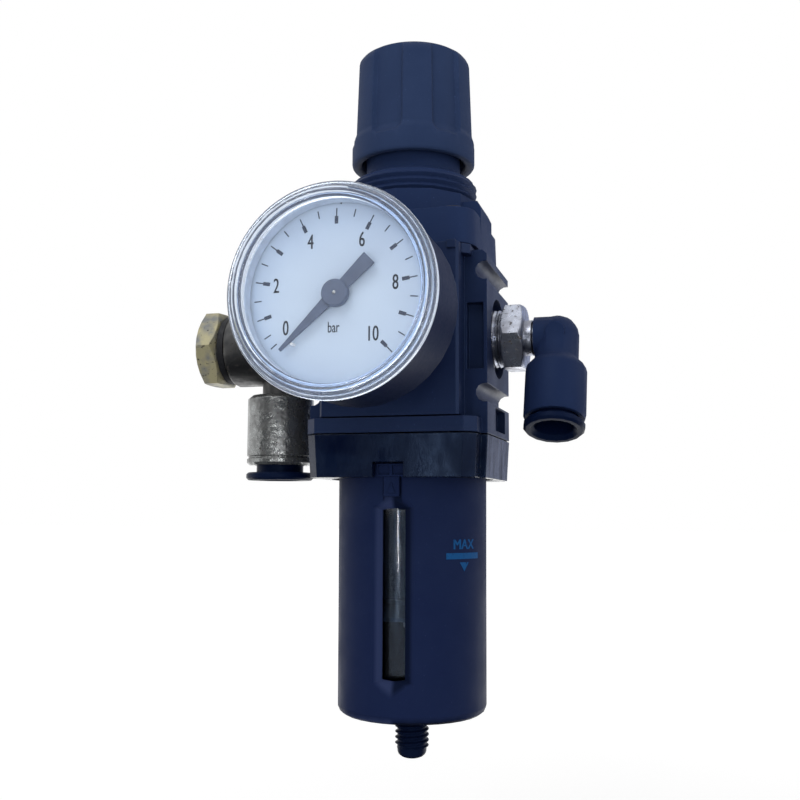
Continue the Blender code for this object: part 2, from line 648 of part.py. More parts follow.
def gauge_sector():
    """The toothed sector, in mesh with the pinion, its arbor and the pin of its tail."""
    at = GAUGE @ Matrix.Translation((0, -GEAR_CENTRES, 0))
    teeth = tooth_points(WHEEL_TEETH, -1, SECTOR_TEETH)
    arm = prism([(-1.0, 0.0)] + teeth + [(3.2, 4.0), (1.4, 0.0)], 46.6, 47.4, at)
    hub = cylinder(1.5, 46.2, 47.8, 14, at)
    arbor = cylinder(0.5, 43.8, 50.9, 8, at, 8)
    tail = box((0.0, -0.8, 46.7), (3.9, 0.8, 47.3), at)
    pin = cylinder(0.35, 47.0, 49.0, 8, at @ Matrix.Translation((3.2, 0, 0)))
    return finish(union(arm, hub, arbor, tail, pin), "gauge_sector", BRASS)


def gauge_movement():
    outline = [(-4.2, -10.9), (4.2, -10.9), (5.4, -9.0), (5.4, 5.4), (-5.4, 5.4), (-5.4, -9.0)]
    for name, low, high in (("movement_plate_back", 43.9, 44.6), ("movement_plate_front", 49.6, 50.3)):
        plate = prism(outline, low, high, GAUGE)
        if name.endswith("back"):
            posts = []
            for x in (-4.3, 4.3):
                posts.append(cylinder(0.7, 44.3, 49.3, 10, GAUGE @ Matrix.Translation((x, 4.2, 0))))
            plate = union(plate, *posts)
        pivots = [cylinder(0.65, low - 1, high + 1, 10, GAUGE)]
        pivots.append(cylinder(0.7, low - 1, high + 1, 10, GAUGE @ Matrix.Translation((0, -GEAR_CENTRES, 0))))
        finish(cut(plate, *pivots), name, BRASS)
    link = prism([(2.3, -10.2), (2.3, -9.0), (11.4, -7.2), (11.7, -8.3), (3.9, -10.2)], 48.1, 48.6, GAUGE)
    link = cut(link, cylinder(0.55, 47.0, 50.0, 8, GAUGE @ Matrix.Translation((3.2, -GEAR_CENTRES, 0))))
    finish(link, "gauge_link", BRASS)
    section = [(-0.6, -1.2), (0.0, -1.6), (0.6, -1.2), (0.6, 1.2), (0.0, 1.6), (-0.6, 1.2)]
    finish(coil(13.6, section, -37, 285, 46.0, 0.0, 24, GAUGE), "bourdon_tube", BRASS)


# Fittings

def right_stud():
    across = place(RIGHT)
    barrel = lathe(
        [(0, 11.0), (6.0, 11.0), (THREAD_R - 0.35, 11.6), (THREAD_R - 0.35, 18.2)]
        + ridges(THREAD_R, THREAD_R - 0.45, 18.7, 0.95, 3)
        + [(THREAD_R - 0.35, 21.6), (4.6, 22.0), (4.05, 25.0), (4.05, 27.9), (3.4, 28.1), (3.4, 33.0)]
        + [(0, 33.0)],
        MIDDLE, across,
    )
    shape = union(hex_head(14.0, 21.5, 26.4, across, 30), barrel)
    return finish(cut(shape, cylinder(2.6, 10.0, 34.0, 16, across)), "right_stud", NICKEL)


def socket_cutter(frame, start, shoulder, seal, seat, end, seat_r):
    """The bore of a push-in socket: passage, tube stop, seal groove and collet seat."""
    return lathe(
        [(0, start), (2.8, start), (2.8, shoulder), (TUBE_R, shoulder), (TUBE_R, seal), (5.6, seal)]
        + [(5.6, seal + 2.0), (TUBE_R + 0.3, seal + 2.0), (TUBE_R + 0.3, seat), (seat_r, seat)]
        + [(seat_r, end + 0.5), (0, end + 0.5)],
        MIDDLE, frame,
    )


def right_elbow():
    across = place(RIGHT)
    leg = lathe(
        [(0, 0.0), (4.85, 0.0), (4.85, 6.0), (5.6, 7.2), (6.5, 8.2), (6.75, 9.2), (6.75, 19.6), (6.4, 20.4)]
        + [(0, 20.4)],
        MIDDLE, LEG,
    )
    corner = lathe(
        [(0, -4.85)] + [(4.85 * math.cos(math.radians(a)), 4.85 * math.sin(math.radians(a)))
                        for a in (-67.5, -45, -22.5, 0, 22.5, 45, 67.5)] + [(0, 4.85)],
        MIDDLE, LEG,
    )
    barrel = cylinder(4.7, 28.4, ELBOW_X, MIDDLE, across)
    boss = cylinder(2.15, 2.0, 4.95, 16, place(FORWARD, (ELBOW_X, 0, 0.6)))
    shell = union(leg, corner, barrel, boss)
    journal = cylinder(3.7, 28.0, 33.4, MIDDLE, across)
    bore = socket_cutter(LEG, 0.0, 10.5, 12.0, 14.9, 20.4, 5.5)
    return finish(cut(shell, journal, bore), "right_elbow", BLACK)


def left_bolt():
    """The hollow bolt that holds the left-hand banjo."""
    across = place(LEFT)
    shank = lathe(
        [(2.6, 11.0), (6.0, 11.0), (THREAD_R, 11.6), (THREAD_R, 27.0), (5.2, 28.0), (5.2, 37.5)]
        + [(THREAD_R, 38.5), (THREAD_R, 46.6), (0, 46.6), (0, 38.0), (2.6, 38.0)],
        MIDDLE, across,
    )
    bolt = union(shank, hex_head(17.0, 46.2, 51.3, across, 30))
    hole = cylinder(1.6, -7.0, 7.0, 10, Matrix.Translation((BANJO_X, 0, 0)), 8)
    return finish(cut(bolt, hole), "left_bolt", BRASS)


def left_banjo():
    across = place(LEFT)
    barrel = lathe(
        [(0, 20.2), (8.2, 20.2), (8.2, 26.0), (8.8, 26.2), (9.0, 26.8), (9.0, 43.3), (8.5, 44.1), (0, 44.1)],
        28, across,
    )
    neck = cylinder(4.4, -14.8, -4.0, MIDDLE, Matrix.Translation((BANJO_X, 0, 0)))
    shell = union(barrel, neck)
    bore = cylinder(PORT_R, 19.0, 45.0, MIDDLE, across)
    way = cylinder(2.6, -16.0, -3.0, 16, Matrix.Translation((BANJO_X, 0, 0)))
    finish(cut(shell, bore, way), "left_banjo", BRASS)
    for name, low, high, radius in (("left_washer_outer", 44.4, 45.9, 8.3), ("left_washer_inner", 18.3, 19.9, 8.4)):
        ring = [(PORT_R, low), (radius, low), (radius, high), (PORT_R, high)]
        finish(lathe(ring, MIDDLE, across), name, RUBBER)


def left_socket():
    down = place((0, 0, -1), (BANJO_X, 0, 0))
    shell = lathe(
        [(0, 11.6), (6.9, 11.6), (7.8, 12.4), (7.8, 25.9), (7.45, 26.1), (7.45, 26.4), (7.8, 26.6)]
        + [(7.8, 27.5), (7.2, 28.1), (0, 28.1)],
        MIDDLE, down,
    )
    spigot = cylinder(4.75, 10.0, 15.2, MIDDLE, down)
    bore = socket_cutter(down, 14.0, 17.2, 19.0, 21.8, 28.1, 5.9)
    return finish(cut(shell, spigot, bore), "left_socket", NICKEL)


def push_in_parts(side, frame, seal, seat, end, neck_r, flange, flange_r):
    """The seal, the collet and the release ring of one push-in socket."""
    finish(torus(4.8, 0.5, seal + 1.0, SMALL, frame, 5), f"{side}_tube_seal", RUBBER)
    collet = lathe(
        [(TUBE_R + 0.25, seat + 0.4), (5.1, seat + 0.4), (5.1, end - 2.9), (TUBE_R + 0.1, end - 2.9)],
        SMALL, frame,
    )
    slits = []
    for turned in (0, 90):
        slits.append(box((-6.0, -0.3, seat), (6.0, 0.3, seat + 1.6), frame @ spin(turned)))
    finish(cut(collet, *slits), f"{side}_collet", STEEL)
    finish(lathe(
        [(TUBE_R + 0.1, end - 1.6), (neck_r, end - 1.6), (neck_r, flange), (flange_r - 0.4, flange)]
        + [(flange_r, flange + 0.4), (flange_r, flange + 1.3), (flange_r - 0.5, flange + 1.8)]
        + [(TUBE_R + 1.0, flange + 1.8), (TUBE_R + 0.1, flange + 0.9)],
        MIDDLE, frame,
    ), f"{side}_release_ring", BLACK)


def build():
    for obj in list(bpy.data.objects):
        bpy.data.objects.remove(obj, do_unlink=True)
    body()
    cover("front_cover", -1, True)
    cover("rear_cover", 1, False)
    bonnet()
    bonnet_screws()
    knob()
    adjusting_screw()
    spring_nut()
    springs()
    diaphragm()
    diaphragm_plate()
    valve_poppet()
    valve_guide()
    deflector()
    filter_element()
    baffle()
    bowl_cap()
    bowl()
    bowl_guard()
    lock_button()
    bowl_o_ring()
    drain()
    gauge_socket()
    gauge_case()
    gauge_crystal()
    gauge_dial()
    gauge_pointer()
    gauge_sector()
    gauge_movement()
    right_stud()
    right_elbow()
    push_in_parts("right", LEG, 12.0, 14.9, 20.4, 5.1, 21.3, 6.6)
    left_bolt()
    left_banjo()
    left_socket()
    push_in_parts("left", place((0, 0, -1), (BANJO_X, 0, 0)), 19.0, 21.8, 28.1, 5.5, 29.8, 7.9)


build()
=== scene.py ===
"""Looks of the filter regulator: camera, lights, materials, and the fine pieces left out of the solids.

Pieces are worked out in millimetres and turned into metres when they are made. Each takes its place from
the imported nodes' boxes. The gauge faces -Y, the ports' axis is X and +Z is up.
"""

import math

import bmesh
import bpy
from mathutils import Matrix, Vector


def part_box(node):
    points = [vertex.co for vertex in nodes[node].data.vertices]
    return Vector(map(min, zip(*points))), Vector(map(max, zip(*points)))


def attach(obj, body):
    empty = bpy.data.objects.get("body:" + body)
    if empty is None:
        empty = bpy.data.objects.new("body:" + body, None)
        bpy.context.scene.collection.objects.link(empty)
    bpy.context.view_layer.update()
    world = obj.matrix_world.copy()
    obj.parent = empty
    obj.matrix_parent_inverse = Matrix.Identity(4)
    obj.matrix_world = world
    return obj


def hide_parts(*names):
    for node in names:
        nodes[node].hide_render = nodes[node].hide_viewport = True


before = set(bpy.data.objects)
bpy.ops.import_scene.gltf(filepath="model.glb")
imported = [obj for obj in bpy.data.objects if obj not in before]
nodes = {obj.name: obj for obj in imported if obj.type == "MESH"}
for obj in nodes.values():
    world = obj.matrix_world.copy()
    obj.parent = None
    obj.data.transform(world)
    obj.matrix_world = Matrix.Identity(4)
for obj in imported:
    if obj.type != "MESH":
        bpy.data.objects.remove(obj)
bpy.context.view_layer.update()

MM = 0.001
FORWARD = Matrix(((1, 0, 0), (0, 0, -1), (0, 1, 0))).to_4x4()  # local X, Y and height become X, Z and -Y

# Camera, as fitted to the photograph
LENS_MM, SENSOR_MM = 45.0, 36.0
EYE_MM = (59.5, -221.1, -38.3)
YAW, PITCH, ROLL = 15.8, -6.24, 0.22  # degrees


def low_high(node):
    """A node's lowest and highest corner, in millimetres."""
    low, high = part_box(node)
    return low / MM, high / MM


def added(name, data):
    """A new object in the scene, of that mesh, curve, light or camera."""
    obj = bpy.data.objects.new(name, data)
    bpy.context.scene.collection.objects.link(obj)
    return obj


def feed(tree, socket, value):
    """Links another node's output to an input socket, or sets the socket to a constant."""
    if isinstance(value, bpy.types.NodeSocket):
        tree.links.new(value, socket)
    else:
        socket.default_value = value


# Materials

class Look:
    """A node material. Constants sit on the shader's sockets, and steps vary the rest over the surface."""

    def __init__(self, name, colour, roughness, metallic=0.0, **sockets):
        self.material = bpy.data.materials.new(name)
        self.material.use_nodes = True
        self.tree = self.material.node_tree
        self.shader = self.tree.nodes["Principled BSDF"]
        self.put("Base Color", (*colour, 1.0))
        self.put("Roughness", roughness)
        self.put("Metallic", metallic)
        for socket, value in sockets.items():
            self.put(socket.replace("_", " "), value)
        self.where = self.step("TexCoord").outputs["Object"]
        self.normal = None

    def put(self, socket, value):
        feed(self.tree, self.shader.inputs[socket], value)

    def step(self, kind, inputs=None, **settings):
        made = self.tree.nodes.new("ShaderNode" + kind)
        for key, value in settings.items():
            setattr(made, key, value)
        for key, value in (inputs or {}).items():
            feed(self.tree, made.inputs[key], value)
        return made

    def noise(self, per_mm, detail=2.0, stretch=(1, 1, 1), shift=0.0):
        """Lumps of about that many to the millimetre, from 0 to 1 round 0.5."""
        scale = [per_mm * part / MM for part in stretch]
        spot = self.step("Mapping", {"Vector": self.where, "Scale": scale, "Location": [shift] * 3})
        made = self.step("TexNoise", {"Vector": spot.outputs[0], "Scale": 1.0, "Detail": detail})
        return made.outputs["Fac"]

    def spread(self, value, low, high, to_low=0.0, to_high=1.0):
        """The value's range from low to high, stretched to the other range and cut off there."""
        made = self.step("MapRange", {
            "Value": value, "From Min": low, "From Max": high, "To Min": to_low, "To Max": to_high,
        }, clamp=True)
        return made.outputs[0]

    def maths(self, operation, first, second):
        return self.step("Math", {0: first, 1: second}, operation=operation).outputs[0]

    def mixed(self, share, first, second):
        """The first colour, with that share of the second."""
        made = self.step("Mix", {0: share}, data_type="RGBA")
        for index, colour in ((6, first), (7, second)):
            linked = isinstance(colour, bpy.types.NodeSocket)
            feed(self.tree, made.inputs[index], colour if linked else (*colour, 1.0))
        return made.outputs[2]

    def rounded(self, radius_mm):
        """Rounds the look of the part's edges."""
        made = self.step("Bevel", {"Radius": radius_mm * MM}, samples=4)
        self.normal = made.outputs["Normal"]

    def edges(self, radius_mm=0.5):
        """1 along the part's edges and 0 on its faces."""
        bevel = self.step("Bevel", {"Radius": radius_mm * MM}, samples=4)
        flat = self.step("NewGeometry").outputs["Normal"]
        dot = self.step("VectorMath", {0: bevel.outputs["Normal"], 1: flat}, operation="DOT_PRODUCT")
        return self.spread(dot.outputs["Value"], 1.0, 0.75)

    def bump(self, value, depth_mm):
        inputs = {"Height": value, "Distance": depth_mm * MM, "Strength": 1.0}
        if self.normal is not None:
            inputs["Normal"] = self.normal
        self.normal = self.step("Bump", inputs).outputs["Normal"]

    def done(self):
        if self.normal is not None:
            self.put("Normal", self.normal)
        return self.material


GUARD_R = 16.8  # the guard's outer radius in the solids
COOL = (0.40, 0.60, 1.0, 1.0)  # the cold tint that the photograph's light puts on black mouldings


def moulded(name, colour, worn, roughness=0.5, gloss=0.15, grain=0.018, round_mm=0.3, dust=0.5):
    """A satin moulding: slow cloudy change of colour and gloss, fine grain, dust and rubbed edges."""
    look = Look(name, colour, roughness, Specular_IOR_Level=gloss, Specular_Tint=COOL)
    look.rounded(round_mm)
    cloud = look.noise(0.09, 4.0)
    fine = look.noise(1.7, 3.0)
    tone = look.mixed(look.spread(cloud, 0.35, 0.68), colour, worn)
    specks = look.spread(look.noise(2.6, 1.0, shift=5.0), 0.73, 0.80, 0.0, dust)
    tone = look.mixed(specks, tone, [part * 2.6 + 0.012 for part in worn])
    rub = look.maths("MULTIPLY", look.edges(), look.spread(look.noise(0.8, 3.0), 0.45, 0.75))
    tone = look.mixed(look.maths("MULTIPLY", rub, 0.55), tone, [part * 2.0 + 0.006 for part in worn])
    look.put("Base Color", tone)
    smear = look.spread(cloud, 0.3, 0.7, -0.06, 0.07)
    smear = look.maths("ADD", smear, look.spread(fine, 0.3, 0.7, -0.03, 0.03))
    look.put("Roughness", look.maths("ADD", smear, roughness))
    look.bump(look.noise(5.0, 2.0), grain)
    return look.done()


def guard_moulding():
    """The guard's satin moulding, with painted highlight and shade in its window's slopes."""
    dark, worn = (0.0072, 0.0130, 0.0460), (0.0092, 0.0160, 0.0510)
    look = Look("guard_moulding", dark, 0.5, Specular_IOR_Level=0.06, Specular_Tint=COOL)
    look.rounded(0.3)
    tone = look.mixed(look.spread(look.noise(0.09, 4.0), 0.35, 0.68), dark, worn)
    parts = look.step("SeparateXYZ", {0: look.where})
    flat = look.step("CombineXYZ", {"X": parts.outputs["X"], "Y": parts.outputs["Y"]})
    reach = look.step("VectorMath", {0: flat.outputs[0]}, operation="LENGTH").outputs["Value"]
    sunk = look.spread(reach, (GUARD_R - 0.35) * MM, (GUARD_R - 0.9) * MM)
    sunk = look.maths("MULTIPLY", sunk, look.spread(parts.outputs["Y"], -8 * MM, -10 * MM))
    # painted highlight: the window's left slope made paler
    left = look.maths("MULTIPLY", sunk, look.spread(parts.outputs["X"], 0.5 * MM, -0.5 * MM))
    tone = look.mixed(look.maths("MULTIPLY", left, 0.8), tone, (0.0230, 0.0330, 0.0850))
    # painted shade: the window's right slope made darker
    right = look.maths("MULTIPLY", sunk, look.spread(parts.outputs["X"], -0.5 * MM, 0.5 * MM))
    tone = look.mixed(look.maths("MULTIPLY", right, 0.85), tone, (0.0015, 0.0035, 0.0140))
    specks = look.spread(look.noise(2.6, 1.0, shift=5.0), 0.74, 0.80, 0.0, 0.4)
    tone = look.mixed(specks, tone, (0.035, 0.050, 0.120))
    look.put("Base Color", tone)
    look.put("Roughness", look.spread(look.noise(0.15, 4.0), 0.3, 0.7, 0.42, 0.55))
    look.bump(look.noise(5.0, 2.0), 0.018)
    return look.done()


def glossy_cap():
    """The collar's hard gloss, with smeared oil and scuffed edges."""
    black, film = (0.0012, 0.0030, 0.0145), (0.0026, 0.0060, 0.0210)
    look = Look("cap_gloss", black, 0.2, Specular_IOR_Level=0.18, Specular_Tint=COOL)
    look.rounded(0.3)
    tone = look.mixed(look.spread(look.noise(0.12, 4.0, (1, 1, 2)), 0.42, 0.66), black, film)
    scuff = look.maths("MULTIPLY", look.edges(0.6), look.spread(look.noise(0.7, 4.0), 0.5, 0.62))
    tone = look.mixed(look.maths("MULTIPLY", scuff, 0.4), tone, (0.05, 0.06, 0.07))
    look.put("Base Color", tone)
    look.put("Roughness", look.spread(look.noise(0.25, 5.0, (1, 1, 0.35)), 0.35, 0.7, 0.14, 0.42))
    look.bump(look.noise(0.5, 3.0), 0.03)
    return look.done()


def plated(name, clean, stain, pit_share, roughness, stain_share=0.5, lumps=0.05, metal=1.0):
    """Worn plating: cloudy stains, dark pits, dull patches and a slightly hammered surface."""
    look = Look(name, clean, roughness, metal)
    look.rounded(0.2)
    cloud = look.noise(0.35, 5.0)
    tone = look.mixed(look.spread(cloud, 0.42, 0.66, 0.0, stain_share), clean, stain)
    pits = look.spread(look.noise(1.4, 3.0, shift=3.0), 0.64 - pit_share, 0.70 - pit_share)
    tone = look.mixed(pits, tone, (0.05, 0.04, 0.035))
    look.put("Base Color", tone)
    look.put("Metallic", look.spread(pits, 0.0, 1.0, metal, 0.25))
    dull = look.spread(cloud, 0.35, 0.7, -0.06, 0.16)
    dull = look.maths("ADD", dull, look.spread(pits, 0.0, 1.0, 0.0, 0.25))
    look.put("Roughness", look.maths("ADD", dull, roughness))
    look.bump(look.noise(0.9, 4.0), lumps)
    look.bump(look.noise(4.0, 2.0), 0.01)
    return look.done()


def plain(name, colour, roughness, metallic=0.0, grain=0.01, **sockets):
    """A small or hidden piece's finish, with a little change of tone and gloss."""
    look = Look(name, colour, roughness, metallic, **sockets)
    look.rounded(0.15)
    patches = look.spread(look.noise(0.5, 3.0), 0.3, 0.7)
    look.put("Base Color", look.mixed(patches, colour, [0.75 * part for part in colour]))
    look.put("Roughness", look.spread(look.noise(0.9, 3.0), 0.3, 0.7, roughness - 0.06, roughness + 0.1))
    look.bump(look.noise(3.0, 2.0), grain)
    return look.done()


def clear(name, tint, roughness, ior, haze=None, through=1.0):
    """A clear moulding with a faint shadow. through is its transmission, and haze clouds its surface."""
    look = Look(name, tint, roughness, IOR=ior, Transmission_Weight=through)
    if haze:
        cloud = look.spread(look.noise(0.3, 5.0, (1, 1, 0.4)), 0.4, 0.7, roughness, haze)
        look.put("Roughness", cloud)
        look.bump(look.noise(0.4, 3.0), 0.02)
    look.done()
    tree = look.tree
    shadow = look.step("LightPath").outputs["Is Shadow Ray"]
    passing = look.step("BsdfTransparent", {"Color": (*tint, 1.0)})
    blend = look.step("MixShader", {0: shadow})
    tree.links.new(look.shader.outputs[0], blend.inputs[1])
    tree.links.new(passing.outputs[0], blend.inputs[2])
    tree.links.new(blend.outputs[0], tree.nodes["Material Output"].inputs["Surface"])
    return look.material


def printed(name, colour, worn):
    """Ink that is slightly worn in places."""
    look = Look(name, colour, 0.5, Specular_IOR_Level=0.1)
    look.put("Base Color", look.mixed(look.spread(look.noise(2.2, 3.0), 0.55, 0.75), colour, worn))
    return look.done()


def dial_face():
    """The dial's pale paint, with a slow patch of painted shade across it."""
    white, shade = (0.485, 0.595, 0.745), (0.43, 0.53, 0.68)
    look = Look("dial_paint", white, 0.42)
    look.put("Base Color", look.mixed(look.spread(look.noise(0.05, 2.0), 0.35, 0.65), white, shade))
    look.bump(look.noise(3.0, 2.0), 0.004)
    return look.done()


LOOKS = {
    "body": moulded("body_moulding", (0.0050, 0.0100, 0.0390), (0.0075, 0.0145, 0.0470), 0.42, 0.28),
    "bonnet": moulded("bonnet_moulding", (0.0115, 0.0225, 0.0690), (0.0145, 0.0265, 0.0760), 0.52, 0.12),
    "knob": moulded(
        "knob_moulding", (0.0160, 0.0290, 0.0760), (0.0210, 0.0360, 0.0890), 0.60, 0.15, 0.012, 0.4, 0.3,
    ),
    "guard": guard_moulding(),
    "case": moulded("case_moulding", (0.0075, 0.0125, 0.0400), (0.0095, 0.0155, 0.0440), 0.50, 0.06, 0.014),
    "fitting": moulded(
        "fitting_moulding", (0.0085, 0.0170, 0.0550), (0.0100, 0.0190, 0.0580), 0.50, 0.12, 0.010, 0.3, 0.2,
    ),
    "ring": moulded(
        "ring_moulding", (0.0015, 0.0045, 0.0210), (0.0025, 0.0060, 0.0240), 0.42, 0.10, 0.010, 0.3, 0.3,
    ),
    "cap": glossy_cap(),
    "nickel": plated("stud_nickel", (0.44, 0.47, 0.55), (0.22, 0.22, 0.25), 0.02, 0.30, 0.7),
    "socket": plated("socket_nickel", (0.28, 0.29, 0.29), (0.16, 0.16, 0.16), -0.04, 0.22, 0.8, 0.20, 0.85),
    "banjo": plated("banjo_brass", (0.11, 0.11, 0.11), (0.06, 0.062, 0.067), 0.0, 0.42, 0.8),
    "bolt": plated("bolt_brass", (0.36, 0.33, 0.20), (0.17, 0.18, 0.19), 0.0, 0.45, 0.9, 0.05, 0.35),
    "brass": plated("fresh_brass", (0.62, 0.47, 0.20), (0.42, 0.31, 0.13), -0.05, 0.30),
    "steel": plated("zinc_steel", (0.52, 0.54, 0.57), (0.36, 0.36, 0.36), -0.03, 0.34),
    "blackened": plated("blackened_steel", (0.045, 0.052, 0.075), (0.025, 0.028, 0.036), -0.03, 0.45),
    "rubber": plain("black_rubber", (0.004, 0.005, 0.009), 0.7, grain=0.03),
    "white": plain("white_moulding", (0.66, 0.67, 0.66), 0.45),
    "baffle": plain("stained_moulding", (0.13, 0.15, 0.17), 0.55, grain=0.03),
    # the filter's dark grey is painted shade for the unlit inside of the guard
    "filter": plain("sintered_filter", (0.045, 0.058, 0.070), 0.9, grain=0.15),
    "dial": dial_face(),
    "peg": plain("peg_white", (0.80, 0.84, 0.90), 0.4, grain=0.002),
    "pin": plain("pin_steel", (0.55, 0.58, 0.62), 0.35, 1.0, 0.002),
    "ink": printed("dial_ink", (0.040, 0.052, 0.090), (0.065, 0.083, 0.130)),
    "pointer": plain("pointer_paint", (0.078, 0.112, 0.200), 0.5, grain=0.004),
    "mark": printed("level_ink", (0.003, 0.060, 0.190), (0.002, 0.040, 0.130)),
    "window": plain("window_clear", (0.86, 0.92, 1.0), 0.12, grain=0.002, Alpha=0.03),
    "bezel": clear("bezel_clear", (0.72, 0.79, 0.89), 0.07, 1.46, through=0.92),
    "skirt": plain("skirt_frosted", (0.56, 0.66, 0.82), 0.6, grain=0.004),
    # the bowl's deep tint is painted shade: it darkens the filter and baffle behind it, as the guard's unlit
    # inside
    "bowl": clear("bowl_clear", (0.28, 0.36, 0.48), 0.05, 1.45, 0.16),
}

NODE_LOOKS = {
    "body": ("body", "front_cover", "rear_cover"),
    "bonnet": ("bonnet",),
    "knob": ("knob",),
    "guard": ("bowl_guard", "lock_button"),
    "case": ("gauge_case",),
    "fitting": ("right_elbow",),
    "ring": ("right_release_ring", "left_release_ring", "drain_screw"),
    "cap": ("bowl_cap",),
    "nickel": ("right_stud",),
    "socket": ("left_socket",),
    "banjo": ("left_banjo",),
    "bolt": ("left_bolt",),
    "brass": (
        "gauge_socket", "gauge_sector", "gauge_link", "bourdon_tube", "movement_plate_back",
        "movement_plate_front", "spring_nut", "valve_poppet", "diaphragm_plate",
    ),
    "steel": ("adjusting_screw", "adjusting_spring", "valve_spring", "right_collet", "left_collet"),
    "blackened": ("bonnet_screw_1", "bonnet_screw_2", "bonnet_screw_3", "bonnet_screw_4"),
    "rubber": (
        "diaphragm", "bowl_o_ring", "drain_seal", "gauge_seal", "right_tube_seal", "left_tube_seal",
        "left_washer_outer", "left_washer_inner",
    ),
    "white": ("valve_guide", "deflector"),
    "baffle": ("baffle",),
    "filter": ("filter_element",),
    "dial": ("gauge_dial",),
    "pointer": ("gauge_pointer",),
    "bowl": ("bowl",),
    "bezel": ("gauge_crystal",),
}
WELD_MM = 0.002
CREASE = 38.0  # degrees between two faces, over which their edge stays sharp
FINER_CREASES = {"bonnet": 25.0, "bowl_guard": 18.0}


def dress_nodes():
    """Gives each CAD node its material, and shades its round faces smooth between its real edges."""
    for look, names in NODE_LOOKS.items():
        for name in names:
            obj = nodes[name]
            obj.data.materials.clear()
            obj.data.materials.append(LOOKS[look])
            if "custom_normal" in obj.data.attributes:
                obj.data.attributes.remove(obj.data.attributes["custom_normal"])
            obj.data.shade_smooth()
            weld = obj.modifiers.new("weld", "WELD")
            weld.merge_threshold = WELD_MM * MM
            split = obj.modifiers.new("creases", "EDGE_SPLIT")
            split.split_angle = math.radians(FINER_CREASES.get(name, CREASE))


# Building blocks for the finer pieces: a shape is a pair of its points and its faces

def piece(name, shape, look, body, place=None, replaces=()):
    """A smooth-shaded mesh piece from a shape in millimetres, riding on its body."""
    vertices, faces = shape
    mesh = bpy.data.meshes.new(name)
    mesh.from_pydata([tuple(point) for point in vertices], [], faces)
    mesh.transform(Matrix.Scale(MM, 4) @ (place or Matrix.Identity(4)))
    facing = bmesh.new()
    facing.from_mesh(mesh)
    bmesh.ops.recalc_face_normals(facing, faces=facing.faces)
    facing.to_mesh(mesh)
    facing.free()
    mesh.shade_smooth()
    mesh.set_sharp_from_angle(angle=math.radians(CREASE))
    mesh.materials.append(LOOKS[look])
    obj = added(name, mesh)
    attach(obj, body)
    if replaces:
        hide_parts(*replaces)


def turned(outline, sides, closed=True, radius_at=None):
    """A shape from an outline of (radius, height) turned round local Z. radius_at reshapes each point."""
    vertices, rings, faces = [], [], []
    for radius, height in outline:
        count = sides if radius > 1e-6 else 1
        rings.append(range(len(vertices), len(vertices) + count))
        for k in range(count):
            angle = 2 * math.pi * k / sides
            reach = radius_at(radius, height, angle) if radius_at and count > 1 else radius
            vertices.append((reach * math.cos(angle), reach * math.sin(angle), height))
    pairs = list(zip(rings, rings[1:]))
    if closed:
        pairs.append((rings[-1], rings[0]))
    for ring, following in pairs:
        if len(ring) == 1 and len(following) == 1:
            continue
        for k in range(sides):
            a, b = ring[k % len(ring)], ring[(k + 1) % len(ring)]
            c, d = following[(k + 1) % len(following)], following[k % len(following)]
            faces.append(list(dict.fromkeys((a, b, c, d))))
    return vertices, faces


def arc(centre_radius, centre_height, radius, start, end, steps):
    """Outline points along a circle in the (radius, height) plane, in degrees from outwards towards up."""
    points = []
    for k in range(steps + 1):
        angle = math.radians(start + (end - start) * k / steps)
        points.append((centre_radius + radius * math.cos(angle), centre_height + radius * math.sin(angle)))
    return points


def smoothstep(value, low, high):
    share = max(0.0, min(1.0, (value - low) / (high - low)))
    return share * share * (3 - 2 * share)


def flat_shape(outline, low, high):
    """A plate of that outline between two heights."""
    count = len(outline)
    vertices = [(x, y, low) for x, y in outline] + [(x, y, high) for x, y in outline]
    faces = [tuple(range(count)), tuple(range(count, 2 * count))]
    for k in range(count):
        m = (k + 1) % count
        faces.append((k, m, m + count, k + count))
    return vertices, faces


CAPITAL_SHARE = 0.73  # a capital's height as a share of the font's size


def text_shape(words, height, narrow, thickness, bolder):
    """Plain lettering, its capitals that high, centred on the origin in local X and Y.

    Two copies, one that far to each side, make it bolder.
    """
    curve = bpy.data.curves.new("words", "FONT")
    curve.body = words
    curve.align_x = "CENTER"
    curve.align_y = "CENTER"
    curve.size = height / CAPITAL_SHARE
    curve.extrude = thickness / 2
    curve.resolution_u = 4
    obj = added("words", curve)
    bpy.context.view_layer.update()
    graph = bpy.context.evaluated_depsgraph_get()
    mesh = bpy.data.meshes.new_from_object(obj.evaluated_get(graph))
    points = [tuple(point.co) for point in mesh.vertices]
    faces = [tuple(face.vertices) for face in mesh.polygons]
    bpy.data.objects.remove(obj, do_unlink=True)
    sides = (-bolder, bolder)
    return joined([([(x * narrow + shift, y, z) for x, y, z in points], faces) for shift in sides])


def joined(shapes):
    vertices, faces = [], []
    for points, sides in shapes:
        first = len(vertices)
        vertices += points
        faces += [tuple(first + index for index in face) for face in sides]
    return vertices, faces


def moved(shape, matrix):
    return [tuple(matrix @ Vector(point)) for point in shape[0]], shape[1]


# Knob

FLUTES = 6
FIRST_RIB = 18.5  # degrees from the front towards +X
FLUTE_HALF, FLUTE_EDGE, FLUTE_CORNER = 15.0, 2.6, 7.0  # half a flute, its slope and corner, in degrees
FLUTE_DEPTH, CORNER_RISE, RUN_OUT = 0.95, 1.8, 1.1
BAND_HEIGHT, FLUTE_END = 7.1, 4.4  # heights over the knob's lower edge
CROWN_R = 11.5  # nothing inside this radius is fluted
SHOULDER_R, SHOULDER_DROP = 13.45, 3.4  # the side's upper edge: its radius, and its depth under the top
SIDE_ROWS, FLARE_ROWS = 44, 12


